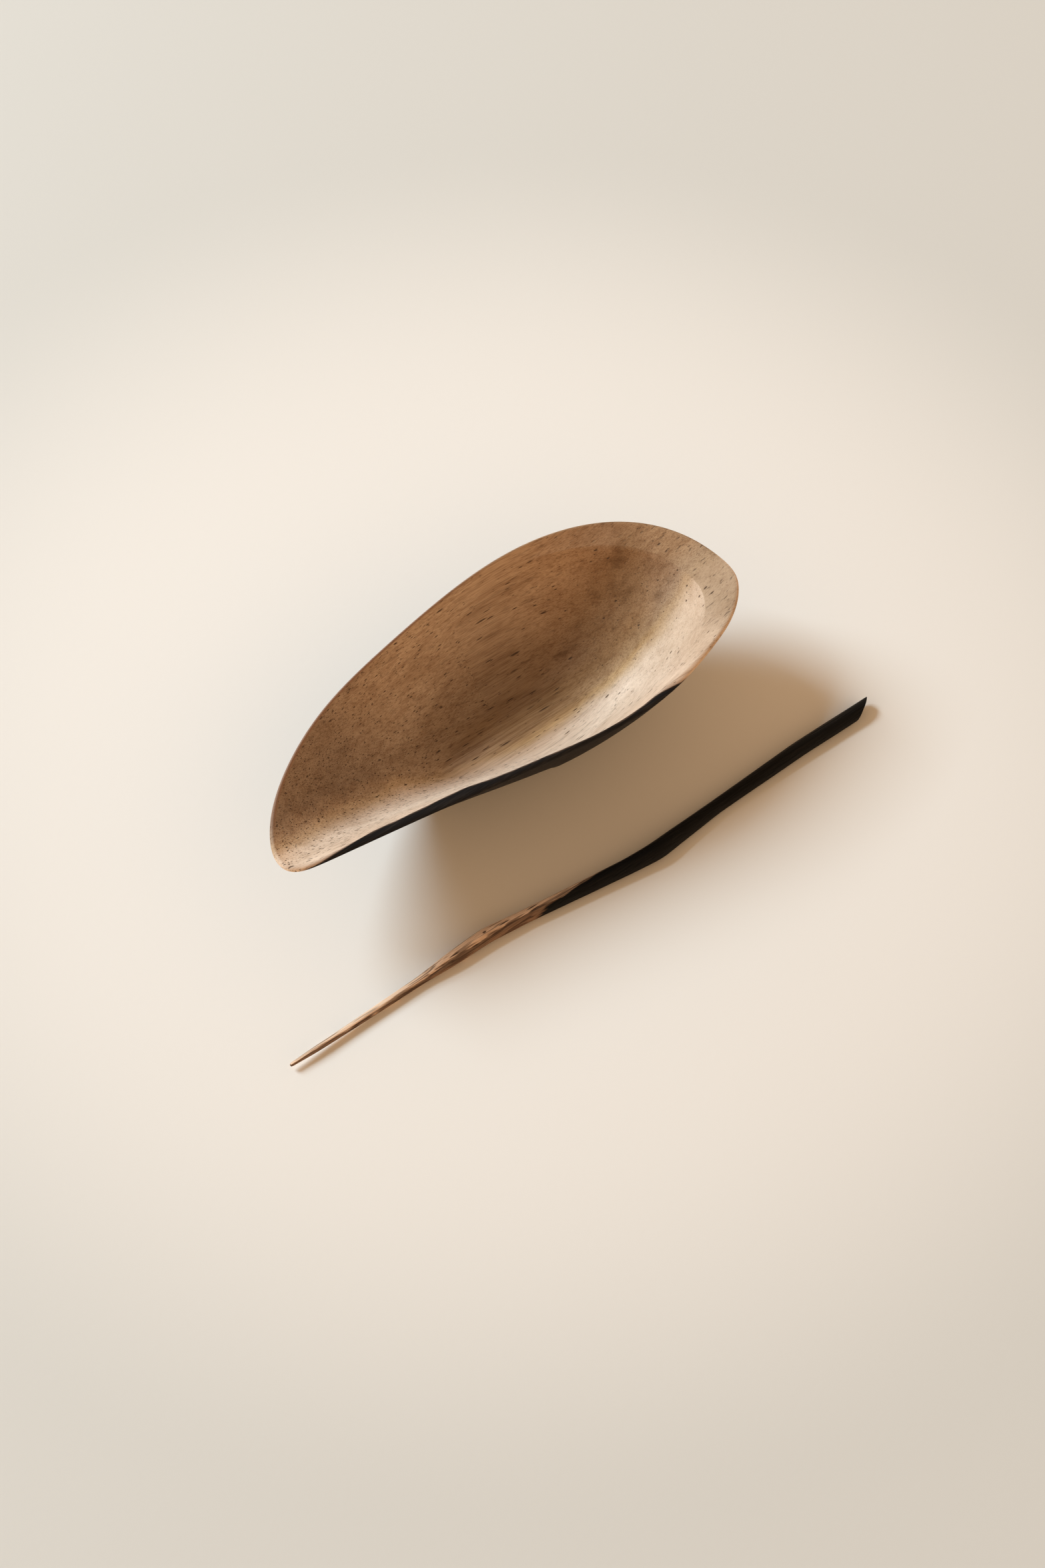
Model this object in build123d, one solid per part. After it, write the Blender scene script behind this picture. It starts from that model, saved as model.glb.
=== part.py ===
from build123d import *
import math
import os

# Carved wooden scoop for leaf tea, with the whittled pick that lies beside it, in millimetres.
# X runs along the scoop from its pouring lip (-X) to its round back end (+X), and Z is up.
# The origin is the middle of the flat that the scoop rests on. The pick lies on the -Y side.

# Scoop, overall
SCOOP_LENGTH = 150.0
SCOOP_WIDTH = 63.0
SCOOP_HEIGHT = 32.0
BASE_LENGTH = 47.0
BASE_SETBACK = 8.0

# Scoop, smooth body below the rim: an egg swept sideways towards its lip
EGG_FULLNESS = 0.97
EGG_TAPER = 0.26
LIP_SWEEP = 14.5
SWEEP_POWER = 3.5

# Scoop, wall and hollow
WALL_THICKNESS = 1.4
FLOOR_THICKNESS = 3.0
FLOOR_LENGTH = 42.0
NEAR_FULLNESS = 1.65
FAR_FULLNESS = 2.0
LIP_FULLNESS = 1.1
LIP_BLEND = 0.5
CARVING_BANDS = 3

# Scoop, rim: its upright edge, the ease of the edge, how soon its corners fade out below it,
# and the flare inside, which is widest at the back
RIM_EDGE = 0.8
RIM_EASE = 0.3
CORNER_FADE = 6
FLARE_HEIGHT = 3.5
FLARE_SHOULDER = 4.5
MOUTH_CLEARANCE = 2.0

# Rim seen from above, round from the tip of the lip along the near side and back along the far side,
# as shares of half the length and half the width from the middle of the rim
RIM_OUTLINE = [
    (-0.997, -0.436),
    (-0.955, -0.580),
    (-0.842, -0.640),
    (-0.455, -0.770),
    (0.054, -0.945),
    (0.415, -0.996),
    (0.748, -0.802),
    (0.810, -0.742),
    (0.958, -0.482),
    (0.982, -0.396),
    (0.994, -0.105),
    (0.942, 0.311),
    (0.702, 0.838),
    (0.401, 0.996),
    (-0.164, 0.828),
    (-0.540, 0.578),
    (-0.876, 0.072),
    (-0.971, -0.215),
]

# Pick, overall and place
PICK_LENGTH = 190.0
PICK_WIDTH = 5.5
PICK_THICKNESS = 4.7
PICK_SWAY = 5.0
PICK_GAP = 16.2
PICK_OVERHANG = 22.0
TIP_RISE = 1.2
TIP_CURVE = 8
END_SLANT = 6.0
END_UNDERCUT = 3.0

# Pick seen from above, a twig with two bends: shares of the length, sway and width at each knife stroke's end
PICK_STATIONS = [
    (0.000, 0.00, 0.19),
    (0.042, 0.00, 0.32),
    (0.216, 0.14, 0.47),
    (0.268, 0.16, 0.75),
    (0.326, 0.22, 0.83),
    (0.384, -0.04, 0.72),
    (0.547, -0.84, 0.87),
    (0.595, -1.00, 1.00),
    (0.637, -0.86, 0.89),
    (0.705, -0.66, 0.74),
    (0.863, -0.44, 0.83),
    (1.000, -0.44, 0.83),
]

# Pick, the directions in degrees of the edges between its whittled facets, from the far side over the top
PICK_EDGES = [8, 55, 98, 148, 196, 245, 295, 338]


def end_distance(x):
    """Distance from the base's middle to the end of the scoop on this side of it."""
    return SCOOP_LENGTH / 2 - math.copysign(BASE_SETBACK, x)


def forward(x):
    """How far forward a place is, from 0 at the base's middle to 1 at the lip."""
    return max(0.0, -x / end_distance(x))


def sweep(x):
    """The body's middle line, which turns towards the near side at the lip."""
    return Vector(0, -LIP_SWEEP * forward(x) ** SWEEP_POWER)


def rim_points():
    """The rim's outline, measured from the middle of the base."""
    points = []
    for along, across in RIM_OUTLINE:
        points.append(Vector(along * SCOOP_LENGTH / 2 - BASE_SETBACK, across * SCOOP_WIDTH / 2))
    return points


def egg_angles():
    """Which way round the smooth egg each rim point lies, from the base's middle."""
    angles = []
    for point in rim_points():
        along = point.X / end_distance(point.X)
        across = (point - sweep(point.X)).Y / (SCOOP_WIDTH / 2)
        angles.append(math.atan2(across / (EGG_FULLNESS + EGG_TAPER * along), along))
    return angles


def egg_points():
    """The smooth egg inside the rim's outline, before its sweep, with one point for each rim point."""
    points = []
    for angle in egg_angles():
        x = end_distance(math.cos(angle)) * math.cos(angle)
        y = SCOOP_WIDTH / 2 * math.sin(angle) * (EGG_FULLNESS + EGG_TAPER * math.cos(angle))
        points.append(Vector(x, y))
    return points


def inset(points, depth, back_depth=0.0):
    """The outline through these points moved inward, by a further depth towards the back end."""
    outline = outline_through(points)
    moved = []
    for point in points:
        along = outline.tangent_at(outline.param_at_point(point))
        inward = along.rotate(Axis.Z, 90)
        backward = max(0.0, point.X / end_distance(point.X))
        moved.append(point + inward * (depth + back_depth * backward**2))
    return moved


def fullness(point):
    """How full the wall at this point of the egg is: 1 is a straight slope, 2 a deep round side."""
    across = 0.5 + point.Y / SCOOP_WIDTH
    side = NEAR_FULLNESS + (FAR_FULLNESS - NEAR_FULLNESS) * across
    return side + (LIP_FULLNESS - side) * forward(point.X) ** LIP_BLEND


def carved_contour(egg, flat_length, rise):
    """The wall's outline where it has risen by this share of the way to the rim."""
    flat = flat_length / SCOOP_LENGTH
    contour = []
    for whole, point, rim in zip(egg_points(), egg, rim_points()):
        corner = rim - whole - sweep(whole.X)
        place = point * (flat + (1 - flat) * rise ** (1 / fullness(point)))
        contour.append(place + sweep(place.X) + corner * rise**CORNER_FADE)
    return contour


def outline_through(points):
    """The smooth closed outline through these points, spaced by angle so that every level is alike."""
    angles = egg_angles()
    turns = [(angle - angles[0]) % math.tau / math.tau for angle in angles]
    return Edge.make_spline(points, periodic=True, parameters=turns + [1.0])


def level_face(points, height):
    """A level face inside the smooth closed outline through these points."""
    return Pos(0, 0, height) * make_face(outline_through(points))


def carved_bowl(egg, flat_length, bottom, height, share=1.0):
    """A rounded solid that spreads from a flat out to the rim at its height, kept up to a share of it."""
    levels = []
    steps = 2 * CARVING_BANDS
    for step in range(steps + 1):
        rise = share * (step / steps) ** 2
        levels.append(level_face(carved_contour(egg, flat_length, rise), bottom + height * rise))
    bands = []
    for start in range(0, steps, 2):
        bands.append(loft(levels[start : start + 3]))
    return Part() + bands


def scoop_hull():
    """The scoop before hollowing: a rounded hull with an upright edge round its top, eased by a chamfer."""
    edge_start = SCOOP_HEIGHT - RIM_EDGE
    hull = carved_bowl(egg_points(), BASE_LENGTH, 0, edge_start)
    hull += loft([level_face(rim_points(), edge_start), level_face(rim_points(), SCOOP_HEIGHT)], ruled=True)
    return chamfer(hull.faces().sort_by(Axis.Z)[-1].edges(), RIM_EASE)


def scoop_hollow():
    """What is carved out: a rounded hollow, then a flare that opens it out to the rim."""
    depth = SCOOP_HEIGHT - FLOOR_THICKNESS
    carved_share = 1 - FLARE_HEIGHT / depth
    wall = inset(egg_points(), WALL_THICKNESS, FLARE_SHOULDER)
    mouth = carved_contour(inset(egg_points(), WALL_THICKNESS), FLOOR_LENGTH, 1)
    hollow = carved_bowl(wall, FLOOR_LENGTH, FLOOR_THICKNESS, depth, carved_share)
    flare = [
        level_face(carved_contour(wall, FLOOR_LENGTH, carved_share), SCOOP_HEIGHT - FLARE_HEIGHT),
        level_face(mouth, SCOOP_HEIGHT),
        level_face(mouth, SCOOP_HEIGHT + MOUTH_CLEARANCE),
    ]
    return hollow + loft(flare, ruled=True)


def scoop_bowl():
    """The scoop: one block of wood carved to a thin wall."""
    return scoop_hull() - scoop_hollow()


def pick_section(width, thickness):
    """The pick's whittled section: unequal flats all round."""
    corners = []
    for direction in PICK_EDGES:
        angle = math.radians(direction)
        corners.append((width / 2 * math.cos(angle), thickness / 2 * math.sin(angle)))
    return make_face(Polyline(*corners, close=True))


def tea_pick():
    """The pick: a whittled twig of straight knife strokes, with a raised tip and an end cut slantwise."""
    tip_x = -SCOOP_LENGTH / 2 - BASE_SETBACK - PICK_OVERHANG
    middle_y = -SCOOP_WIDTH / 2 - PICK_GAP
    sections = []
    for along, sway, size in PICK_STATIONS:
        width = PICK_WIDTH * size
        thickness = PICK_THICKNESS * size
        section = pick_section(width, thickness)
        lift = TIP_RISE * (1 - along) ** TIP_CURVE - section.bounding_box().min.Y
        place = Plane(
            origin=(tip_x + PICK_LENGTH * along, middle_y + PICK_SWAY * sway, lift),
            x_dir=(0, 1, 0),
            z_dir=(1, 0, 0),
        )
        sections.append(place * section)
    cut = Plane(
        origin=(tip_x + PICK_LENGTH, middle_y + PICK_SWAY * sway + width / 2, thickness),
        z_dir=(1, -END_SLANT / width, -END_UNDERCUT / thickness),
    )
    return split(loft(sections, ruled=True), bisect_by=cut, keep=Keep.BOTTOM)


os.makedirs("parts", exist_ok=True)
export_step(scoop_bowl(), "parts/scoop_bowl.step")
export_step(tea_pick(), "parts/tea_pick.step")
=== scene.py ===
import math
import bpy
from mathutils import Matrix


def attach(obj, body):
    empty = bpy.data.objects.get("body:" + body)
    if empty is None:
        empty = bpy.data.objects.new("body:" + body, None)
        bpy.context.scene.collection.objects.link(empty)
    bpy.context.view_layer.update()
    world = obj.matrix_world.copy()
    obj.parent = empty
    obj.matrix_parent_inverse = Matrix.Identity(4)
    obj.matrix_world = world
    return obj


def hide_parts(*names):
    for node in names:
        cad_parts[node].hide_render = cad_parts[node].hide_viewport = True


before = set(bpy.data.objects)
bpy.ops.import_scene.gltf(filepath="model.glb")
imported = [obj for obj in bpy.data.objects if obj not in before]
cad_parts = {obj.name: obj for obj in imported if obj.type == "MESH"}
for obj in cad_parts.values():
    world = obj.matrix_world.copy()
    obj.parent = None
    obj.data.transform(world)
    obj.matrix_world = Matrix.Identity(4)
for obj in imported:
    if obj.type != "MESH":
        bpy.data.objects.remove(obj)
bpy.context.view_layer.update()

from types import SimpleNamespace

import bmesh
import bpy
import numpy as np
from bpy.props import FloatProperty, FloatVectorProperty, PointerProperty
from mathutils import Vector, noise

bl_info = {
    "name": "Carved tea scoop and tea pick",
    "version": (1, 0, 0),
    "blender": (4, 5, 0),
    "location": "3D View > Sidebar > Tea scoop",
    "description": "Builds a carved leaf-tea scoop, its whittled pick and the table they lie on",
    "category": "Object",
}

MM = 0.001
COLOUR = {"subtype": "COLOR", "size": 3, "min": 0, "max": 1}

# Rim seen from above, round from the tip of the lip along the near side and back along the far side,
# as shares of half the length and half the width from the middle of the rim
RIM_OUTLINE = [
    (-0.997, -0.436), (-0.955, -0.580), (-0.842, -0.640), (-0.455, -0.770), (0.054, -0.945),
    (0.415, -0.996), (0.748, -0.802), (0.810, -0.742), (0.958, -0.482), (0.982, -0.396),
    (0.994, -0.105), (0.942, 0.311), (0.702, 0.838), (0.401, 0.996), (-0.164, 0.828),
    (-0.540, 0.578), (-0.876, 0.072), (-0.971, -0.215),
]

# Smooth egg below the rim: its fullness, its taper to the lip, and how its middle line sweeps
# towards the near side there, in millimetres
EGG_FULLNESS = 0.97
EGG_TAPER = 0.26
LIP_SWEEP = 14.5
SWEEP_POWER = 3.5

# How full the walls are, where 1 is a straight slope and 2 a deep round side, and how soon the sides
# blend into the lip and the rim's corners fade out below it
NEAR_FULLNESS = 1.65
FAR_FULLNESS = 2.0
LIP_FULLNESS = 1.1
LIP_BLEND = 0.5
CORNER_FADE = 6

# Width of the rim's top on either side, in millimetres, as pairs of place along the scoop and width
NEAR_RIM = [
    (-83, 0.9), (-72, 1.0), (-65, 1.5), (-58, 2.2), (-51, 2.1), (-43, 2.4), (-32, 2.7), (-26, 1.9),
    (-20, 1.6), (-8, 1.3), (4, 0.8), (12, 1.0), (18, 1.4), (25, 1.8), (31, 1.8), (38, 1.4),
    (45, 0.9), (67, 0.8),
]
FAR_RIM = [(-83, 0.9), (-72, 0.6), (60, 0.6), (67, 0.8)]

# Where the black heartwood starts on either side, as pairs of place along the scoop and millimetres
# outward and down from the rim's inner edge
NEAR_HEART = [
    (-83, 4.0), (-81, 2.4), (-79, 1.3), (-75, 0.7), (-69, 0.2), (-64, 0.0), (24, 0.0), (29, 0.7),
    (33, 1.6), (37, 2.4), (41, 3.0), (48, 3.8), (58, 5.0), (67, 6.0),
]
FAR_HEART = [
    (-83, 4.0), (-70, 5.0), (-50, 4.5), (-37, 3.4), (-34, 1.0), (-31, 0.7), (-26, 0.8), (-23, 1.2),
    (-19, 4.0), (0, 6.0), (30, 7.5), (50, 8.0), (67, 6.0),
]

# How often the values of these rim and heartwood tables are smoothed round the scoop
SMOOTHING_PASSES = 2

# Where the wood inside turns from brown to pale, in millimetres, as pairs of place along the scoop and
# across it. The border follows the edge of the lamp's shadow inside the hollow, so its brown side is partly
# painted shade
PALE_LIT_BORDER = [
    (-83, -8.5), (-79, -7.3), (-67, -3.8), (-55, -1.6), (-45, 0.8), (-37, 3.4), (-26, 2.0), (-15, 0.0),
    (2, -3.0), (22, -2.0), (36, -2.8), (47, -2.2), (55, 0.5), (67, 0.0),
]

# Gouge marks inside, in millimetres: the size of one cut and of the swell below it, where the cuts
# start to deepen towards the back end and over what length, and the shares of the depth they take
GOUGE_CUT = (15, 10, 12)
GOUGE_SWELL = (24, 15, 15)
GOUGE_BACK_START = 15
GOUGE_BACK_RUN = 35
GOUGE_SHARE = 0.3
GOUGE_BACK_SHARE = 1.5
SWELL_SHARE = 0.6

# Pick seen from above: shares of the length, sway and width at the end of each knife stroke
PICK_STATIONS = [
    (0.000, 0.00, 0.19), (0.042, 0.00, 0.32), (0.216, 0.14, 0.47), (0.268, 0.16, 0.75),
    (0.326, 0.22, 0.83), (0.384, -0.04, 0.72), (0.547, -0.84, 0.87), (0.595, -1.00, 1.00),
    (0.637, -0.86, 0.89), (0.705, -0.66, 0.74), (0.863, -0.44, 0.83), (1.000, -0.44, 0.83),
]

# Directions in degrees of the edges between the pick's facets, how far noise makes them wander, and
# the way through that noise: over the whole pick, from one edge to the next, and at one level
PICK_EDGES = [8, 55, 98, 148, 196, 245, 295, 338]
EDGE_WANDER = 8
WANDER_ALONG = 14
WANDER_ROUND = 3.7
WANDER_LEVEL = 0.5

# Pick's blunt tip: where its rings lie as shares of the length, how far each has grown, how sharply
# the tip turns up, and where the evenly spaced rings start
TIP_SHARES = [0.0, 0.0006, 0.0016, 0.003, 0.005]
TIP_SIZES = [0.45, 0.72, 0.88, 0.96, 1.0]
TIP_CURVE = 8
SHAFT_START = 0.009

# How far each knife stroke is eased into the next, as a share of the pick's length, and in how many samples
STROKE_EASE = 0.012
EASE_SAMPLES = 7

# Where the pick turns black, in millimetres, as pairs of place along the scoop and across it
PICK_HEART = [
    (-110, -54.0), (-40, -52.0), (-30, -50.4), (-24, -49.6), (-12, -49.5), (-6, -49.0), (4, -46.0),
    (90, -38.0),
]

# Small knot on the pick: its place in metres, and how many of its half-sizes go into a metre
KNOT_PLACE = (-0.0435, -0.0464)
KNOT_PER_METRE = (1500.0, 2600.0)

# How finely the meshes are cut: points round the scoop, rings up each wall, shares of the way up the
# flare, degrees over the rim's rounded top, shares of the way out over a flat, and rings along the pick
RING_SEGMENTS = 288
WALL_STEPS = 44
FLARE_STEPS = [0.03, 0.08, 0.2, 0.4, 0.6, 0.8, 0.93, 1.0]
RIM_TURNS = [8, 20, 32, 44, 56, 68, 80, 90]
FLOOR_SHARES = [0.05, 0.2, 0.35, 0.5, 0.65, 0.8, 0.92]
PICK_RINGS = 150

# Fixed colours in the woods
BEVEL_TAN = (0.61, 0.445, 0.29)
RIM_TOP_DARK = (0.27, 0.155, 0.10)
HEART_BLUSH = (0.28, 0.19, 0.145)
HEART_EDGE = (0.07, 0.042, 0.028)
HEART_FIBRE = (0.044, 0.036, 0.030)
PICK_FRONT = (0.95, 0.70, 0.49)
PICK_BLACK_FIBRE = (0.020, 0.015, 0.011)
DUST = (0.45, 0.42, 0.38)

# Grain: the depth of its relief in metres, the share of a mark's reach that is fully dark, and the
# span of chance over which a mark fades in
GRAIN_DEPTH = 0.00012
MARK_CORE = 0.45
MARK_CHANCE = (0.93, 1.07)

# Sockets of the Mix node for colours
MIX_SHARE = 0
MIX_FIRST = 6
MIX_SECOND = 7
MIX_RESULT = 2

# Table, in metres: half its side, how far it lies below the pieces, and the depth of its fine grit
TABLE_HALF = 3.0
TABLE_DROP = 0.0001
GRIT_DEPTH = 0.00002

# Camera: the place it looks at and its distance from there, in millimetres, its height above the
# table and its turn from the near side, in degrees, and the width of its sensor in millimetres
CAMERA_TARGET = (-6.69, -13.65, 0.0)
CAMERA_DISTANCE = 868.95
CAMERA_HEIGHT = 56.0
CAMERA_TURN = -36.86
SENSOR_WIDTH = 36.0


class ScoopSettings(bpy.types.PropertyGroup):
    """Sizes and colours of the scoop."""

    length: FloatProperty(name="Length", description="Lip to back end", default=0.150, unit="LENGTH")
    width: FloatProperty(name="Width", description="Across the rim", default=0.063, unit="LENGTH")
    height: FloatProperty(name="Height", description="Table to rim", default=0.032, unit="LENGTH")
    setback: FloatProperty(
        name="Setback",
        description="How far the rim's middle lies in front of the base's",
        default=0.008,
        unit="LENGTH",
    )
    base_length: FloatProperty(
        name="Base", description="Length of the flat it rests on", default=0.047, unit="LENGTH"
    )
    floor_length: FloatProperty(
        name="Floor", description="Length of the flat inside", default=0.042, unit="LENGTH"
    )
    floor_thickness: FloatProperty(
        name="Floor thickness", description="Wood under the hollow", default=0.003, unit="LENGTH"
    )
    wall: FloatProperty(
        name="Wall", description="Wall thickness below the rim", default=0.0014, unit="LENGTH"
    )
    flare_height: FloatProperty(
        name="Flare", description="Height of the bevel inside the rim", default=0.0035, unit="LENGTH"
    )
    flare_shoulder: FloatProperty(
        name="Shoulder",
        description="Extra width of that bevel at the back end",
        default=0.0045,
        unit="LENGTH",
    )
    rim_drop: FloatProperty(
        name="Rim drop", description="How far the rim is rounded over", default=0.0008, unit="LENGTH"
    )
    gouge_depth: FloatProperty(
        name="Gouge marks", description="Depth of the tool marks inside", default=0.00028, unit="LENGTH"
    )
    sapwood: FloatVectorProperty(
        name="Sapwood", description="Pale wood", default=(0.90, 0.70, 0.52), **COLOUR
    )
    sapwood_tan: FloatVectorProperty(
        name="Sapwood, tan", description="Between pale and brown", default=(0.70, 0.505, 0.315), **COLOUR
    )
    # The brown of the hollow's far side and floor: partly the wood's own tone, partly painted shade
    sapwood_dark: FloatVectorProperty(
        name="Sapwood, dark", description="Browner zones", default=(0.52, 0.37, 0.247), **COLOUR
    )
    pore: FloatVectorProperty(
        name="Pores", description="Open pores and dark fibres", default=(0.075, 0.045, 0.027), **COLOUR
    )
    heartwood: FloatVectorProperty(
        name="Heartwood", description="Black wood", default=(0.0130, 0.0115, 0.0110), **COLOUR
    )


class PickSettings(bpy.types.PropertyGroup):
    """Sizes and colours of the pick."""

    length: FloatProperty(name="Length", description="Tip to end", default=0.190, unit="LENGTH")
    width: FloatProperty(name="Width", description="At its widest", default=0.0055, unit="LENGTH")
    thickness: FloatProperty(
        name="Thickness", description="At its thickest", default=0.0047, unit="LENGTH"
    )
    sway: FloatProperty(
        name="Sway", description="How far its bends lean sideways", default=0.005, unit="LENGTH"
    )
    gap: FloatProperty(
        name="Gap", description="From the scoop's side to the pick's line", default=0.0162, unit="LENGTH"
    )
    overhang: FloatProperty(
        name="Overhang", description="Tip in front of the scoop's lip", default=0.022, unit="LENGTH"
    )
    tip_rise: FloatProperty(
        name="Tip rise", description="Tip above the table", default=0.0012, unit="LENGTH"
    )
    end_slant: FloatProperty(
        name="End slant", description="Slant of the cut end", default=0.006, unit="LENGTH"
    )
    end_undercut: FloatProperty(
        name="End undercut", description="Undercut of the cut end", default=0.003, unit="LENGTH"
    )
    edge_round: FloatProperty(
        name="Edge rounding",
        description="Share of each facet taken by its rounded edges",
        default=22.0,
        subtype="PERCENTAGE",
    )
    brown: FloatVectorProperty(
        name="Brown wood", description="Front of the pick", default=(0.21, 0.122, 0.072), **COLOUR
    )
    brown_pale: FloatVectorProperty(
        name="Pale brown", description="Paler fibres", default=(0.74, 0.485, 0.305), **COLOUR
    )
    grain: FloatVectorProperty(
        name="Grain lines", description="Dark fibres", default=(0.045, 0.023, 0.013), **COLOUR
    )
    black: FloatVectorProperty(
        name="Black wood", description="Shaft of the pick", default=(0.0045, 0.0038, 0.0032), **COLOUR
    )


class TableSettings(bpy.types.PropertyGroup):
    """Table, light and camera."""

    table: FloatVectorProperty(
        name="Table", description="Colour of the table", default=(0.88, 0.82, 0.73), **COLOUR
    )
    window: FloatVectorProperty(
        name="Window", description="Colour of the main light", default=(0.65, 0.835, 1.0), **COLOUR
    )
    window_power: FloatProperty(
        name="Window power", description="Power of the main light", default=113.0, unit="POWER"
    )
    window_height: FloatProperty(
        name="Window height",
        description="Angle of the main light above the table",
        default=math.radians(38),
        subtype="ANGLE",
    )
    window_side: FloatProperty(
        name="Window side",
        description="Angle of the main light round from the far side",
        default=math.radians(28.5),
        subtype="ANGLE",
    )
    window_size: FloatProperty(
        name="Window size", description="Side of the main light", default=1.28, unit="LENGTH"
    )
    window_distance: FloatProperty(
        name="Window distance", description="Main light to scoop", default=3.0, unit="LENGTH"
    )
    ceiling: FloatVectorProperty(
        name="Ceiling", description="Light from above", default=(0.10, 0.08, 0.06), **COLOUR
    )
    room: FloatVectorProperty(
        name="Room", description="Light from the room in front", default=(1.0, 0.66, 0.39), **COLOUR
    )
    room_strength: FloatProperty(
        name="Room strength", description="Strength of the light from the room", default=2.0
    )
    lens: FloatProperty(
        name="Lens", description="Focal length in millimetres", default=75.0, unit="CAMERA"
    )


class Value:
    """A number in a shader: an expression on values adds its Math nodes."""

    def __init__(self, shader, socket):
        self.shader = shader
        self.socket = socket

    def math(self, operation, first, second):
        node = self.shader.add("ShaderNodeMath", {"operation": operation}, {0: first, 1: second})
        return Value(self.shader, node.outputs[0])

    def __add__(self, other):
        return self.math("ADD", self, other)

    def __radd__(self, other):
        return self.math("ADD", other, self)

    def __sub__(self, other):
        return self.math("SUBTRACT", self, other)

    def __rsub__(self, other):
        return self.math("SUBTRACT", other, self)

    def __mul__(self, other):
        return self.math("MULTIPLY", self, other)

    def __rmul__(self, other):
        return self.math("MULTIPLY", other, self)

    def ramp(self, start, end, shape="SMOOTHSTEP"):
        """A step from 0 at start to 1 at end."""
        node = self.shader.add(
            "ShaderNodeMapRange",
            {"interpolation_type": shape},
            {"Value": self, "From Min": start, "From Max": end},
        )
        return Value(self.shader, node.outputs[0])


class Shader:
    """The nodes of a material, whose pattern is in the piece's own coordinates, or of the world."""

    def __init__(self, owner, coordinates="Object"):
        owner.use_nodes = True
        self.owner = owner
        self.tree = owner.node_tree
        self.tree.nodes.clear()
        self.place = self.add("ShaderNodeTexCoord").outputs[coordinates]

    def add(self, kind, settings=None, sockets=None):
        """A node of this kind: its settings first, then the values or links of its sockets."""
        node = self.tree.nodes.new(kind)
        for name, setting in (settings or {}).items():
            setattr(node, name, setting)
        for name, given in (sockets or {}).items():
            given = given.socket if isinstance(given, Value) else given
            if isinstance(given, bpy.types.NodeSocket):
                self.tree.links.new(given, node.inputs[name])
            else:
                node.inputs[name].default_value = given
        return node

    def stretched(self, along, across, shift=0.0):
        """Coordinates in which this length along the grain and this width across it are one unit."""
        node = self.add(
            "ShaderNodeMapping",
            {},
            {
                "Vector": self.place,
                "Location": (shift, shift, shift),
                "Scale": (1 / along, 1 / across, 1 / across),
            },
        )
        return node.outputs[0]

    def cloud(self, along, across, detail=2.0, roughness=0.5, distortion=0.0, shift=0.0):
        """Soft variation, drawn out along the grain."""
        node = self.add(
            "ShaderNodeTexNoise",
            {},
            {
                "Vector": self.stretched(along, across, shift),
                "Scale": 1.0,
                "Detail": detail,
                "Roughness": roughness,
                "Distortion": distortion,
            },
        )
        return Value(self, node.outputs[0])

    def dashes(self, along, across, size, share, shift=0.0):
        """Short marks along the grain, one in each cell for this share of the cells."""
        cells = self.add(
            "ShaderNodeTexVoronoi",
            {"feature": "F1"},
            {"Vector": self.stretched(along, across, shift), "Scale": 1.0, "Randomness": 1.0},
        )
        chance = self.add("ShaderNodeSeparateColor", {}, {"Color": cells.outputs["Color"]}).outputs["Red"]
        mark = Value(self, cells.outputs["Distance"]).ramp(size, size * MARK_CORE)
        chosen = (Value(self, chance) + share).ramp(*MARK_CHANCE)
        return mark * chosen

    def part(self, axis):
        """One of the piece's coordinates, in metres."""
        node = self.add("ShaderNodeSeparateXYZ", {}, {"Vector": self.place})
        return Value(self, node.outputs[axis])

    def attribute(self, name):
        """A number stored on the piece's vertices."""
        node = self.add("ShaderNodeAttribute", {"attribute_name": name})
        return Value(self, node.outputs["Fac"])

    def mix(self, share, first, second, blend="MIX"):
        """A colour between the first and its blend with the second, by a share from 0 to 1."""
        first = (*first, 1.0) if isinstance(first, tuple) else first
        second = (*second, 1.0) if isinstance(second, tuple) else second
        node = self.add(
            "ShaderNodeMix",
            {"data_type": "RGBA", "blend_type": blend},
            {MIX_SHARE: share, MIX_FIRST: first, MIX_SECOND: second},
        )
        return node.outputs[MIX_RESULT]

    def cover(self, colour, *layers):
        """A colour covered by pairs of share and new colour, one after the other."""
        for share, over in layers:
            colour = self.mix(share, colour, over)
        return colour

    def shade(self, colour, *layers):
        """A colour darkened by pairs of share and tint, one after the other."""
        for share, tint in layers:
            colour = self.mix(share, colour, tint, "MULTIPLY")
        return colour

    def finish(self, colour, roughness, height, depth, specular):
        """The surface, with its fine relief."""
        relief = self.add("ShaderNodeBump", {}, {"Strength": 1.0, "Distance": depth, "Height": height})
        surface = self.add(
            "ShaderNodeBsdfPrincipled",
            {},
            {
                "Base Color": colour,
                "Roughness": roughness,
                "Specular IOR Level": specular,
                "Normal": relief.outputs[0],
            },
        )
        self.add("ShaderNodeOutputMaterial", {}, {"Surface": surface.outputs[0]})
        return self.owner


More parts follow.
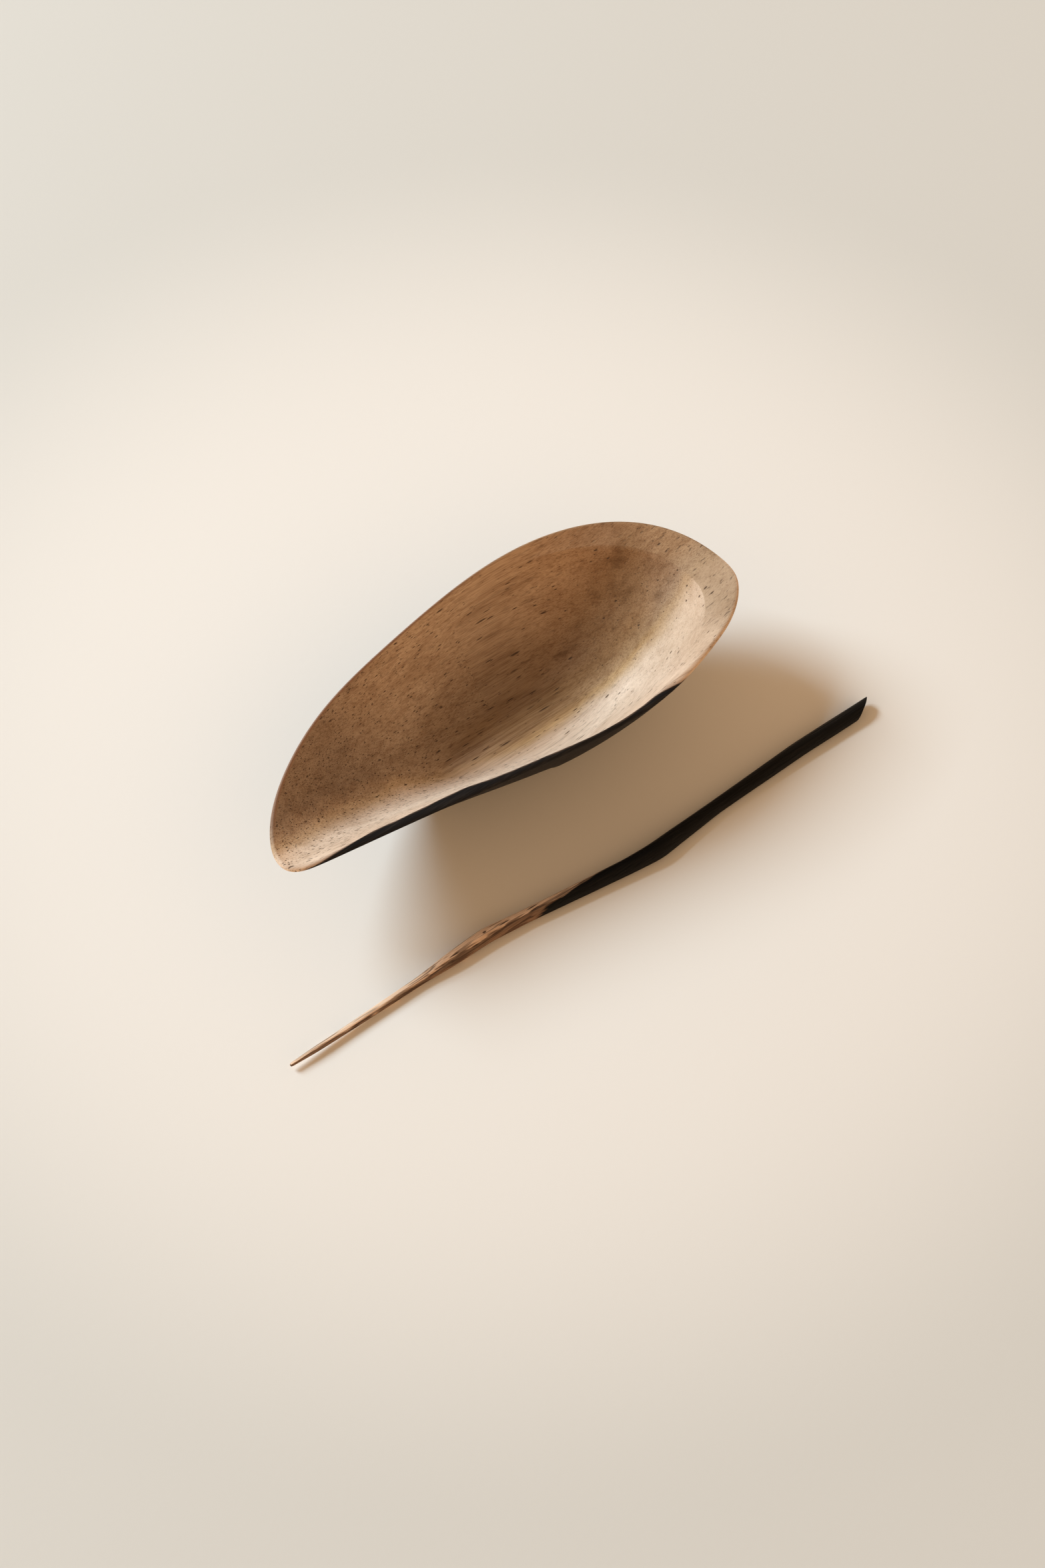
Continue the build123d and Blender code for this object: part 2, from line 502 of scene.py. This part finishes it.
def scoop_grain(wood):
    """The scoop's grain: soft variation, fibres, and open pores that crowd towards the lip."""
    along = wood.part(0)
    crowd = wood.cloud(0.026, 0.010, detail=2.0, shift=7.0)
    forward = along.ramp(0.045, -0.060)
    lip = along.ramp(-0.020, -0.058)
    pore_share = crowd * 0.55 + forward * 0.60 + lip * 0.20 - 0.19
    pinhole_share = crowd * 0.4 + forward * 0.50 + lip * 0.32 - 0.12
    streak_share = crowd * 0.8 + 0.02
    return SimpleNamespace(
        zones=wood.cloud(0.055, 0.014, detail=3.0, roughness=0.55, distortion=0.4),
        mottle=wood.cloud(0.016, 0.005, detail=3.0, roughness=0.6, shift=8.0),
        bands=wood.cloud(0.110, 0.0014, detail=3.0, roughness=0.6, shift=1.0),
        fibres=wood.cloud(0.007, 0.00028, detail=2.0, roughness=0.65),
        lines=wood.cloud(0.045, 0.0008, detail=1.0, shift=3.0).ramp(0.62, 0.74),
        smudges=wood.cloud(0.018, 0.006, detail=2.0, shift=9.0).ramp(0.58, 0.80),
        pores=wood.dashes(0.0062, 0.00068, 0.25, pore_share),
        pinholes=wood.dashes(0.0024, 0.00042, 0.27, pinhole_share, shift=2.0),
        streaks=wood.dashes(0.0150, 0.0018, 0.18, streak_share, shift=5.0),
    )


def scoop_tones(wood, settings, pale, bevel):
    """The sapwood's tones before its grain: brown to pale across the border, partly painted shade, then
    darkened and tinted zone by zone, mostly with painted shade and painted half-light.
    """
    along = wood.part(0)
    height = wood.part(2)
    # Painted shade: the brown side darkened and warmed towards the back end
    far_back_shade = pale.ramp(1.0, -7.0) * along.ramp(0.000, 0.045)
    # Painted shade in the brown throat of the hollow towards the lip
    throat_shade = pale.ramp(0.0, -5.0) * along.ramp(-0.022, -0.056)
    # Painted shade on the hollow's floor, on its brown side
    floor = pale.ramp(0.0, -6.0) * height.ramp(0.016, 0.004)
    # Painted shade where the lamp lights the wood most, over the wood's own tone: towards the near rim and
    # at the back end
    near_wall = pale.ramp(7.0, 17.0)
    back_end = along.ramp(0.030, 0.046)
    # Painted shade on the lit pale side near the lip
    lip_side_shade = pale.ramp(0.0, 5.0) * along.ramp(-0.046, -0.058) * along.ramp(-0.082, -0.066)
    # Painted half-light: a warmer tint on the half-lit band between brown and pale, along the middle of the
    # scoop
    penumbra_length = along.ramp(-0.020, 0.005) * along.ramp(0.054, 0.040)
    penumbra_tint = pale.ramp(-12.0, -5.0) * pale.ramp(5.0, 1.0) * penumbra_length
    # Painted shade low on the brown side at the back of the hollow
    hollow_length = along.ramp(0.024, 0.036) * along.ramp(0.057, 0.049)
    hollow_end_shade = pale.ramp(-5.0, -11.0) * pale.ramp(-23.0, -15.0) * hollow_length

    # Brown to pale across the border: partly the wood's own two tones, partly painted shade, as the brown
    # side lies where the lamp's shadow falls in the hollow
    colour = wood.mix(pale.ramp(-1.5, 2.5), tuple(settings.sapwood_dark), tuple(settings.sapwood_tan))
    colour = wood.cover(
        colour,
        (pale.ramp(1.5, 6.5), tuple(settings.sapwood)),
        (bevel * 0.80, BEVEL_TAN),
    )
    return wood.shade(
        colour,
        (far_back_shade, (0.95, 0.86, 0.76)),
        (throat_shade * 0.9, (0.60, 0.60, 0.62)),
        (floor * 0.80, (0.68, 0.65, 0.60)),
        (near_wall * 0.7, (0.80, 0.76, 0.73)),
        (back_end * 0.95, (0.80, 0.76, 0.71)),
        (lip_side_shade * 0.65, (0.84, 0.80, 0.77)),
        (penumbra_tint, (1.0, 0.92, 0.74)),
        (hollow_end_shade * 0.8, (0.78, 0.74, 0.64)),
    )


def scoop_heart(wood, settings, colour):
    """The black heartwood laid over the sapwood, with its brown edge, and the mask of the black."""
    fray = wood.cloud(0.012, 0.0005, detail=2.0, shift=2.0) - 0.5
    heart = wood.attribute("heart") + fray * 0.9
    black = heart.ramp(-0.05, 0.4)
    fibres = wood.cloud(0.010, 0.0005, detail=3.0, roughness=0.65, shift=4.0)
    specks = wood.dashes(0.0022, 0.0016, 0.06, -0.02, shift=6.0)
    heart_colour = wood.cover(
        tuple(settings.heartwood),
        (fibres.ramp(0.45, 0.8) * 0.7, HEART_FIBRE),
        (specks * 0.6, DUST),
    )
    colour = wood.cover(
        colour,
        (heart.ramp(-0.9, -0.1) * 0.5, HEART_BLUSH),
        (heart.ramp(-0.2, 0.1) * 0.85, HEART_EDGE),
        (black, heart_colour),
    )
    return colour, black


def scoop_wood(settings):
    """Two-tone wood: pale sapwood with dark pores, and black heartwood outside."""
    wood = Shader(bpy.data.materials.new("scoop_wood"))
    pore = tuple(settings.pore)
    grain = scoop_grain(wood)
    # Reach onto the pale side of the border, whose brown side is partly painted shade
    pale = wood.attribute("pale") + grain.zones * 8.0 - 4.0
    bevel = wood.attribute("bevel").ramp(0.72, 0.90)
    calm = 1 - pale.ramp(0.0, 5.0) * 0.45
    colour = wood.shade(
        scoop_tones(wood, settings, pale, bevel),
        (grain.zones.ramp(0.40, 0.70) * calm * 0.45, (0.74, 0.66, 0.57)),
        (grain.mottle.ramp(0.40, 0.75) * calm * 0.50, (0.66, 0.60, 0.54)),
        (grain.bands.ramp(0.42, 0.72) * calm * 0.60, (0.66, 0.58, 0.52)),
        (grain.fibres.ramp(0.38, 0.72) * calm * 0.75, (0.56, 0.50, 0.46)),
        (grain.smudges * calm * 0.60, (0.52, 0.47, 0.43)),
    )
    # The rim's top, darkened on the far side towards the lip
    rim_top = wood.part(2).ramp(0.0313, 0.0318)
    rim_top_dark = rim_top * wood.part(0).ramp(0.035, -0.015) * (pale.ramp(0.0, -8.0) * 0.75 + 0.15)
    colour = wood.cover(
        colour,
        (grain.lines * (0.25 + bevel * 0.35), pore),
        (grain.pinholes * 0.80, pore),
        (grain.pores * 0.95, pore),
        (grain.streaks * 0.90, pore),
        (rim_top_dark, RIM_TOP_DARK),
    )
    colour, black = scoop_heart(wood, settings, colour)
    roughness = 0.58 + grain.fibres * 0.08 - black * 0.06
    height = grain.fibres * 0.45 - grain.pores * 0.8 - grain.pinholes * 0.3
    height = height - grain.streaks * 0.5 - grain.lines * 0.3
    return wood.finish(colour, roughness, height, GRAIN_DEPTH, specular=0.05)


def pick_wood(settings):
    """The same two woods, coarser: brown with strong dark lines, and a black shaft."""
    wood = Shader(bpy.data.materials.new("pick_wood"))
    grain = tuple(settings.grain)
    zones = wood.cloud(0.022, 0.0022, detail=2.0, roughness=0.55)
    fibres = wood.cloud(0.009, 0.00026, detail=2.0, roughness=0.6, shift=1.0)
    lines = wood.cloud(0.014, 0.00055, detail=1.5, distortion=0.2, shift=3.0).ramp(0.52, 0.60)
    clefts = wood.dashes(0.0085, 0.0010, 0.29, 0.62, shift=8.0)
    knot_x = (wood.part(0) - KNOT_PLACE[0]) * KNOT_PER_METRE[0]
    knot_y = (wood.part(1) - KNOT_PLACE[1]) * KNOT_PER_METRE[1]
    knot = (knot_x * knot_x + knot_y * knot_y).ramp(1.0, 0.35)
    strokes = wood.cloud(0.0065, 0.0011, detail=2.0, shift=12.0)
    far = wood.attribute("far") + (zones - 0.5) * 1.3 + (strokes - 0.5) * 1.4
    crack = ((far + 0.62) * (far + 0.62)).ramp(0.05, 0.0)
    front = wood.part(0).ramp(-0.055, -0.085)

    # Darker brown on the near side and paler on the far side, palest there at the front: partly the wood
    # darkening towards its black, partly painted shade on the near side, away from the lamp
    colour = wood.cover(
        tuple(settings.brown),
        (far.ramp(-0.85, -0.25), tuple(settings.brown_pale)),
        (far.ramp(-0.70, 0.20) * front * 0.72, PICK_FRONT),
    )
    colour = wood.shade(colour, (fibres.ramp(0.40, 0.70) * 0.60, (0.55, 0.46, 0.40)))
    colour = wood.cover(
        colour,
        (lines * 0.65, grain),
        (crack * 0.60, grain),
        (clefts * 0.90, grain),
        (knot * 0.90, grain),
    )

    fray = wood.cloud(0.009, 0.0004, detail=2.0, shift=2.0) - 0.5
    heart = wood.attribute("heart") + fray * 1.1
    black = heart.ramp(-0.1, 0.25)
    black_fibres = wood.cloud(0.015, 0.0006, detail=3.0, roughness=0.65, shift=4.0)
    specks = wood.dashes(0.0026, 0.0018, 0.06, -0.02, shift=6.0)
    black_colour = wood.cover(
        tuple(settings.black),
        (black_fibres.ramp(0.5, 0.85) * 0.5, PICK_BLACK_FIBRE),
        (specks * 0.6, DUST),
    )
    colour = wood.cover(colour, (heart.ramp(-0.5, 0.0) * 0.6, grain), (black, black_colour))

    roughness = 0.58 + fibres * 0.08 - black * 0.12
    height = fibres * 0.4 - lines * 0.4 - crack * 0.4 - clefts * 0.8
    return wood.finish(colour, roughness, height, GRAIN_DEPTH, specular=0.10)


def table_paint(settings):
    """A smooth pale table top, very slightly uneven, with painted shade that darkens it away from the
    scoop.
    """
    paint = Shader(bpy.data.materials.new("table_paint"))
    pale = tuple(settings.table)
    clouds = paint.cloud(0.35, 0.35, detail=2.0)
    colour = paint.mix(clouds.ramp(0.3, 0.7) * 0.25, pale, tuple(0.95 * part for part in pale))
    x = paint.part(0)
    y = paint.part(1)
    distance_squared = x * x + y * y
    # Painted shade: the top darkens away from the scoop, where the light falls off
    colour = paint.shade(colour, (distance_squared.ramp(0.006, 0.050), (0.78, 0.80, 0.80)))
    grit = paint.cloud(0.002, 0.002, detail=2.0, shift=2.0)
    return paint.finish(colour, 0.6 + clouds * 0.05, grit, GRIT_DEPTH, specular=0.2)


def room_light(settings):
    """Warm light from the room, strongest low in front, under a dim ceiling."""
    room = Shader(bpy.data.worlds.new("room"), "Generated")
    height = room.part(2).ramp(0.0, 1.0, "LINEAR")
    front = 0.7 - room.part(1) * 0.15
    strength = settings.room_strength * ((1 - height) * front)
    glow = room.add("ShaderNodeBackground", {}, {"Color": (*settings.room, 1.0), "Strength": strength})
    above = room.add("ShaderNodeBackground", {}, {"Color": (*settings.ceiling, 1.0), "Strength": 1.0})
    both = room.add("ShaderNodeAddShader", {}, {0: glow.outputs[0], 1: above.outputs[0]})
    room.add("ShaderNodeOutputWorld", {}, {"Surface": both.outputs[0]})
    return room.owner


def smooth_loop(turns, points):
    """A function for the smooth closed line through points at these rising turns, in radians."""
    count = len(turns)
    steps = np.diff(np.append(turns, turns[0] + math.tau))
    system = np.zeros((count, count))
    pull = np.zeros((count, 2))
    for at in range(count):
        after = (at + 1) % count
        system[at, at - 1] = steps[at - 1]
        system[at, at] = 2 * (steps[at - 1] + steps[at])
        system[at, after] = steps[at]
        slope_before = (points[at] - points[at - 1]) / steps[at - 1]
        slope_after = (points[after] - points[at]) / steps[at]
        pull[at] = 6 * (slope_after - slope_before)
    bend = np.linalg.solve(system, pull)

    def line(turn):
        turn = (turn - turns[0]) % math.tau + turns[0]
        at = np.searchsorted(turns, turn, side="right") - 1
        after = (at + 1) % count
        step = steps[at][:, None]
        gone = (turn - turns[at])[:, None]
        left = step - gone
        curve = (bend[at] * left**3 + bend[after] * gone**3) / (6 * step)
        start = (points[at] / step - bend[at] * step / 6) * left
        end = (points[after] / step - bend[after] * step / 6) * gone
        return curve + start + end

    return line


class ScoopForm:
    """The scoop's outlines in millimetres, with one point for each turn round the scoop."""

    def __init__(self, settings):
        self.length = settings.length / MM
        self.width = settings.width / MM
        self.height = settings.height / MM
        self.setback = settings.setback / MM
        self.turns = np.arange(RING_SEGMENTS) * math.tau / RING_SEGMENTS
        rim = np.array([(x * self.length / 2 - self.setback, y * self.width / 2) for x, y in RIM_OUTLINE])
        along = rim[:, 0] / self.end_distance(rim[:, 0])
        across = (rim[:, 1] - self.sweep(rim[:, 0])) / (self.width / 2)
        rim_turns = np.arctan2(across / (EGG_FULLNESS + EGG_TAPER * along), along)
        rim_turns = rim_turns[0] + (rim_turns - rim_turns[0]) % math.tau
        self.outline = smooth_loop(rim_turns, rim)(self.turns)
        cosine = np.cos(self.turns)
        egg_y = self.width / 2 * np.sin(self.turns) * (EGG_FULLNESS + EGG_TAPER * cosine)
        self.egg = np.stack([self.end_distance(cosine) * cosine, egg_y], 1)
        self.corner = self.outline - self.swept(self.egg)
        self.near = np.sin(self.turns) < 0
        self.rim_width = self.round_table(NEAR_RIM, FAR_RIM)
        self.mouth = self.outline + self.inward(self.outline) * self.rim_width[:, None]

    def end_distance(self, x):
        """Distance from the base's middle to the end of the scoop on this side of it."""
        return self.length / 2 - np.copysign(self.setback, x)

    def forward(self, x):
        """How far forward a place is, from 0 at the base's middle to 1 at the lip."""
        return np.maximum(0.0, -x / self.end_distance(x))

    def sweep(self, x):
        """The body's middle line, which turns towards the near side at the lip."""
        return -LIP_SWEEP * self.forward(x) ** SWEEP_POWER

    def swept(self, points):
        """Points moved sideways with the middle line."""
        return points + np.stack([np.zeros(len(points)), self.sweep(points[:, 0])], 1)

    def inward(self, loop):
        """Unit directions inward from a loop, square to it."""
        run = np.roll(loop, -1, 0) - np.roll(loop, 1, 0)
        return np.stack([-run[:, 1], run[:, 0]], 1) / np.linalg.norm(run, axis=1)[:, None]

    def contour(self, egg, flat, rise):
        """The wall's outline where it has risen by this share of the way to the rim."""
        side = NEAR_FULLNESS + (FAR_FULLNESS - NEAR_FULLNESS) * (0.5 + egg[:, 1] / self.width)
        fullness = side + (LIP_FULLNESS - side) * self.forward(egg[:, 0]) ** LIP_BLEND
        place = egg * (flat + (1 - flat) * rise ** (1 / fullness))[:, None]
        return self.swept(place) + self.corner * rise**CORNER_FADE

    def round_table(self, near, far):
        """Values round the scoop, from pairs of place along it and value on either side."""
        x = self.outline[:, 0]
        values = np.where(self.near, np.interp(x, *zip(*near)), np.interp(x, *zip(*far)))
        for _ in range(SMOOTHING_PASSES):
            values = (np.roll(values, 1) + 2 * values + np.roll(values, -1)) / 4
        return values


def level_ring(loop, level):
    """A loop seen from above, set at one height."""
    return np.column_stack([loop, np.full(len(loop), level)])


def disc_rings(edge, shares):
    """Rings over the flat inside an edge, at these shares of the way out from its middle."""
    middle = edge.mean(0)
    return [middle + (edge - middle) * share for share in shares]


def hollow_rings(form, settings):
    """Rings from the middle of the floor up the hollow and over the flare to the rim's inner edge."""
    floor = settings.floor_thickness / MM
    depth = form.height - floor
    flat = settings.floor_length / settings.length
    carved = 1 - settings.flare_height / MM / depth
    backward = np.maximum(0.0, form.egg[:, 0] / form.end_distance(form.egg[:, 0]))
    shoulder_width = settings.flare_shoulder / MM * backward**2
    inset = np.maximum(settings.wall / MM, form.rim_width) + shoulder_width
    hollow = form.egg + form.inward(form.egg) * inset[:, None]
    walls = []
    for step in range(WALL_STEPS + 1):
        rise = carved * (step / WALL_STEPS) ** 2
        walls.append(level_ring(form.contour(hollow, flat, rise), floor + depth * rise))
    shoulder = walls[-1]
    mouth = level_ring(form.mouth, form.height)
    flare = [shoulder + (mouth - shoulder) * share for share in FLARE_STEPS]
    return disc_rings(walls[0], FLOOR_SHARES) + walls + flare


def hull_rings(form, settings):
    """Rings from the rim's inner edge over its rounded top and down to the middle of the base."""
    flat = settings.base_length / settings.length
    rim_drop = settings.rim_drop / MM
    rings = []
    for turn in RIM_TURNS:
        angle = math.radians(turn)
        loop = form.mouth + (form.outline - form.mouth) * math.sin(angle)
        rings.append(level_ring(loop, form.height - rim_drop * (1 - math.cos(angle))))
    for step in range(WALL_STEPS - 1, -1, -1):
        rise = (step / WALL_STEPS) ** 2
        rings.append(level_ring(form.contour(form.egg, flat, rise), (form.height - rim_drop) * rise))
    return rings + disc_rings(rings[-1], reversed(FLOOR_SHARES))


def pale_lit_side(x, y):
    """How far a place, in millimetres, lies on the pale side of the border, whose brown side is partly
    painted shade.
    """
    return float(np.interp(x, *zip(*PALE_LIT_BORDER))) - y


def gouge(verts, depth):
    """Shallow tool marks on these vertices, deeper towards the back end."""
    for vert in verts:
        place = vert.co / MM
        cut = noise.voronoi(Vector([part / size for part, size in zip(place, GOUGE_CUT)]))[0][0]
        swell = noise.noise(Vector([part / size for part, size in zip(place, GOUGE_SWELL)]))
        back = min(1.0, max(0.0, (place.x - GOUGE_BACK_START) / GOUGE_BACK_RUN))
        cut_share = GOUGE_SHARE + GOUGE_BACK_SHARE * back
        vert.co += vert.normal * depth * ((cut - 0.5) * cut_share + swell * SWELL_SHARE)


def pick_section(settings, share, scale):
    """A ring round the pick, across and up from its middle line, with rounded facet edges."""
    wander = []
    for edge in range(len(PICK_EDGES)):
        place = Vector((share * WANDER_ALONG, edge * WANDER_ROUND, WANDER_LEVEL))
        wander.append(EDGE_WANDER * noise.noise(place))
    angles = np.radians(np.add(PICK_EDGES, wander))
    corners = np.column_stack([np.cos(angles) * settings.width, np.sin(angles) * settings.thickness])
    corners = corners * scale / 2
    before = corners + (np.roll(corners, 1, 0) - corners) * settings.edge_round / 100
    after = corners + (np.roll(corners, -1, 0) - corners) * settings.edge_round / 100
    middle = (before + 2 * corners + after) / 4
    return np.stack([before, middle, after], 1).reshape(-1, 2)


def pick_rings(settings, tip_x, middle_y):
    """Rings along the pick: each point's place, and how far it lies towards the far side."""
    along, sway, size = (np.array(column) for column in zip(*PICK_STATIONS))

    def eased(values, share):
        """The stroke ends' values between them, eased where one stroke meets the next."""
        spread = np.clip(share + np.linspace(-STROKE_EASE, STROKE_EASE, EASE_SAMPLES), 0, 1)
        return float(np.interp(spread, along, values).mean())

    rings = []
    for share in TIP_SHARES + list(np.linspace(SHAFT_START, 1.0, PICK_RINGS - len(TIP_SHARES))):
        scale = eased(size, share) * float(np.interp(share, TIP_SHARES, TIP_SIZES))
        section = pick_section(settings, share, scale)
        x = np.full(len(section), tip_x + settings.length * share)
        y = middle_y + settings.sway * eased(sway, share) + section[:, 0]
        z = settings.tip_rise * (1 - share) ** TIP_CURVE + section[:, 1] - section[:, 1].min()
        far = section[:, 0] / (settings.width * scale / 2)
        rings.append(np.column_stack([x, y, z, far]))
    return np.array(rings)


def tube_of_rings(segments, levels):
    """A tube of unit rings, each one unit above the last, to be shaped ring by ring."""
    tube = bmesh.new()
    bmesh.ops.create_circle(tube, segments=segments, radius=1.0)
    edges = tube.edges[:]
    for _ in range(1, levels):
        grown = bmesh.ops.extrude_edge_only(tube, edges=edges)["geom"]
        verts = [part for part in grown if isinstance(part, bmesh.types.BMVert)]
        fresh = set(verts)
        grown_edges = [part for part in grown if isinstance(part, bmesh.types.BMEdge)]
        edges = [edge for edge in grown_edges if fresh.issuperset(edge.verts)]
        bmesh.ops.translate(tube, verts=verts, vec=(0.0, 0.0, 1.0))
    return tube


def ring_place(vert, segments):
    """Which ring a vertex of such a tube is in, and which of its points it is."""
    turn = math.atan2(vert.co.y, vert.co.x) / math.tau
    return round(vert.co.z), round(turn * segments) % segments


def close_ends(tube):
    """The faces that close a tube's open ends."""
    open_edges = [edge for edge in tube.edges if edge.is_boundary]
    return bmesh.ops.holes_fill(tube, edges=open_edges, sides=0)["faces"]


def add_piece(name, form, material, body, node):
    """A finished piece that stands for a node of the frame."""
    mesh = bpy.data.meshes.new(name)
    form.to_mesh(mesh)
    form.free()
    mesh.materials.append(material)
    piece = bpy.data.objects.new(name, mesh)
    bpy.context.scene.collection.objects.link(piece)
    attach(piece, body)
    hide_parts(node)
    return piece


class OBJECT_OT_carve_scoop(bpy.types.Operator):
    """Carve the scoop"""

    bl_idname = "object.carve_tea_scoop"
    bl_label = "Carve scoop"

    def execute(self, context):
        settings = context.scene.tea_scoop
        form = ScoopForm(settings)
        inner_rings = hollow_rings(form, settings)
        rings = np.array(inner_rings + hull_rings(form, settings))
        crest = len(inner_rings) - 1
        back_end = rings[crest, :, 0].max()
        steps = np.linalg.norm(np.diff(rings, axis=0), axis=2)
        run = np.vstack([np.zeros(RING_SEGMENTS), np.cumsum(steps, 0)])
        heart_reach = run - run[crest] - form.round_table(NEAR_HEART, FAR_HEART)

        shell = tube_of_rings(RING_SEGMENTS, len(rings))
        heart = shell.verts.layers.float.new("heart")
        pale = shell.verts.layers.float.new("pale")
        bevel = shell.verts.layers.float.new("bevel")
        hollow = []
        for vert in shell.verts:
            level, point = ring_place(vert, RING_SEGMENTS)
            x, y, z = rings[level, point]
            vert.co = Vector((x, y, z)) * MM
            vert[heart] = heart_reach[level, point]
            vert[pale] = pale_lit_side(x, y)
            if level < crest - len(FLARE_STEPS):
                hollow.append(vert)
            elif level <= crest + 1:
                vert[bevel] = max(0.0, x / back_end)
        for end in close_ends(shell):
            mean = sum(vert[heart] for vert in end.verts) / len(end.verts)
            for vert in bmesh.ops.poke(shell, faces=[end])["verts"]:
                vert[heart] = mean
                vert[pale] = pale_lit_side(vert.co.x / MM, vert.co.y / MM)
        bmesh.ops.recalc_face_normals(shell, faces=shell.faces)
        shell.normal_update()
        gouge(hollow, settings.gouge_depth)
        for face in shell.faces:
            face.smooth = True
        add_piece("carved_scoop", shell, scoop_wood(settings), "scoop", "scoop_bowl")
        return {"FINISHED"}


class OBJECT_OT_whittle_pick(bpy.types.Operator):
    """Whittle the pick"""

    bl_idname = "object.whittle_tea_pick"
    bl_label = "Whittle pick"

    def execute(self, context):
        settings = context.scene.tea_pick
        scoop = context.scene.tea_scoop
        tip_x = -scoop.length / 2 - scoop.setback - settings.overhang
        middle_y = -scoop.width / 2 - settings.gap
        rings = pick_rings(settings, tip_x, middle_y)
        points = len(rings[0])

        twig = tube_of_rings(points, len(rings))
        heart = twig.verts.layers.float.new("heart")
        far = twig.verts.layers.float.new("far")
        for vert in twig.verts:
            level, point = ring_place(vert, points)
            x, y, z, far_share = rings[level, point]
            vert.co = (x, y, z)
            vert[far] = far_share
        _, end_sway, end_size = PICK_STATIONS[-1]
        width = settings.width * end_size
        thickness = settings.thickness * end_size
        cut = bmesh.ops.bisect_plane(
            twig,
            geom=twig.verts[:] + twig.edges[:] + twig.faces[:],
            plane_co=(tip_x + settings.length, middle_y + settings.sway * end_sway + width / 2, thickness),
            plane_no=(1, -settings.end_slant / width, -settings.end_undercut / thickness),
            clear_outer=True,
        )["geom_cut"]
        cut_edges = [part for part in cut if isinstance(part, bmesh.types.BMEdge)]
        close_ends(twig)
        bmesh.ops.recalc_face_normals(twig, faces=twig.faces)
        border_x, border_y = zip(*PICK_HEART)
        for vert in twig.verts:
            vert[heart] = float(np.interp(vert.co.x / MM, border_x, border_y)) - vert.co.y / MM
        for face in twig.faces:
            face.smooth = True
        for edge in cut_edges:
            edge.smooth = False
        add_piece("whittled_pick", twig, pick_wood(settings), "pick", "tea_pick")
        return {"FINISHED"}


class OBJECT_OT_set_table(bpy.types.Operator):
    """Set the table, the light and the camera"""

    bl_idname = "object.set_tea_table"
    bl_label = "Set table"

    def execute(self, context):
        settings = context.scene.tea_table
        scene = context.scene
        scene.view_settings.view_transform = "Standard"

        top = bmesh.new()
        bmesh.ops.create_grid(top, x_segments=1, y_segments=1, size=TABLE_HALF)
        bmesh.ops.translate(top, verts=top.verts[:], vec=(0, 0, -TABLE_DROP))
        mesh = bpy.data.meshes.new("table_top")
        top.to_mesh(mesh)
        top.free()
        mesh.materials.append(table_paint(settings))
        table = bpy.data.objects.new("table_top", mesh)
        scene.collection.objects.link(table)

        window = bpy.data.lights.new("window", "AREA")
        window.shape = "SQUARE"
        window.size = settings.window_size
        window.energy = settings.window_power
        window.color = settings.window
        lamp = bpy.data.objects.new("window", window)
        side = settings.window_side
        level = math.cos(settings.window_height)
        rise = math.sin(settings.window_height)
        towards = Vector((-math.sin(side) * level, math.cos(side) * level, rise))
        lamp.location = towards * settings.window_distance
        lamp.rotation_euler = towards.to_track_quat("Z", "Y").to_euler()
        scene.collection.objects.link(lamp)

        scene.world = room_light(settings)

        elevation = math.radians(CAMERA_HEIGHT)
        azimuth = math.radians(CAMERA_TURN)
        level = math.cos(elevation)
        sight = Vector((math.sin(azimuth) * level, -math.cos(azimuth) * level, math.sin(elevation)))
        camera = bpy.data.cameras.new("camera")
        camera.lens = settings.lens
        camera.sensor_width = SENSOR_WIDTH
        eye = bpy.data.objects.new("camera", camera)
        eye.location = Vector(CAMERA_TARGET) * MM + sight * (CAMERA_DISTANCE * MM)
        eye.rotation_euler = sight.to_track_quat("Z", "Y").to_euler()
        scene.collection.objects.link(eye)
        scene.camera = eye
        return {"FINISHED"}


class VIEW3D_PT_tea_scoop(bpy.types.Panel):
    """Lists what makes the tea scoop and its pick"""

    bl_label = "Tea scoop"
    bl_space_type = "VIEW_3D"
    bl_region_type = "UI"
    bl_category = "Tea scoop"

    def draw(self, context):
        groups = (
            (context.scene.tea_scoop, OBJECT_OT_carve_scoop),
            (context.scene.tea_pick, OBJECT_OT_whittle_pick),
            (context.scene.tea_table, OBJECT_OT_set_table),
        )
        for settings, operator in groups:
            box = self.layout.box()
            for name in settings.__annotations__:
                box.prop(settings, name)
            box.operator(operator.bl_idname)


CLASSES = (
    ScoopSettings,
    PickSettings,
    TableSettings,
    OBJECT_OT_carve_scoop,
    OBJECT_OT_whittle_pick,
    OBJECT_OT_set_table,
    VIEW3D_PT_tea_scoop,
)


def register():
    for part in CLASSES:
        bpy.utils.register_class(part)
    bpy.types.Scene.tea_scoop = PointerProperty(type=ScoopSettings)
    bpy.types.Scene.tea_pick = PointerProperty(type=PickSettings)
    bpy.types.Scene.tea_table = PointerProperty(type=TableSettings)


def unregister():
    del bpy.types.Scene.tea_table
    del bpy.types.Scene.tea_pick
    del bpy.types.Scene.tea_scoop
    for part in reversed(CLASSES):
        bpy.utils.unregister_class(part)


def main():
    register()
    bpy.ops.object.carve_tea_scoop()
    bpy.ops.object.whittle_tea_pick()
    bpy.ops.object.set_tea_table()


if __name__ == "__main__":
    main()
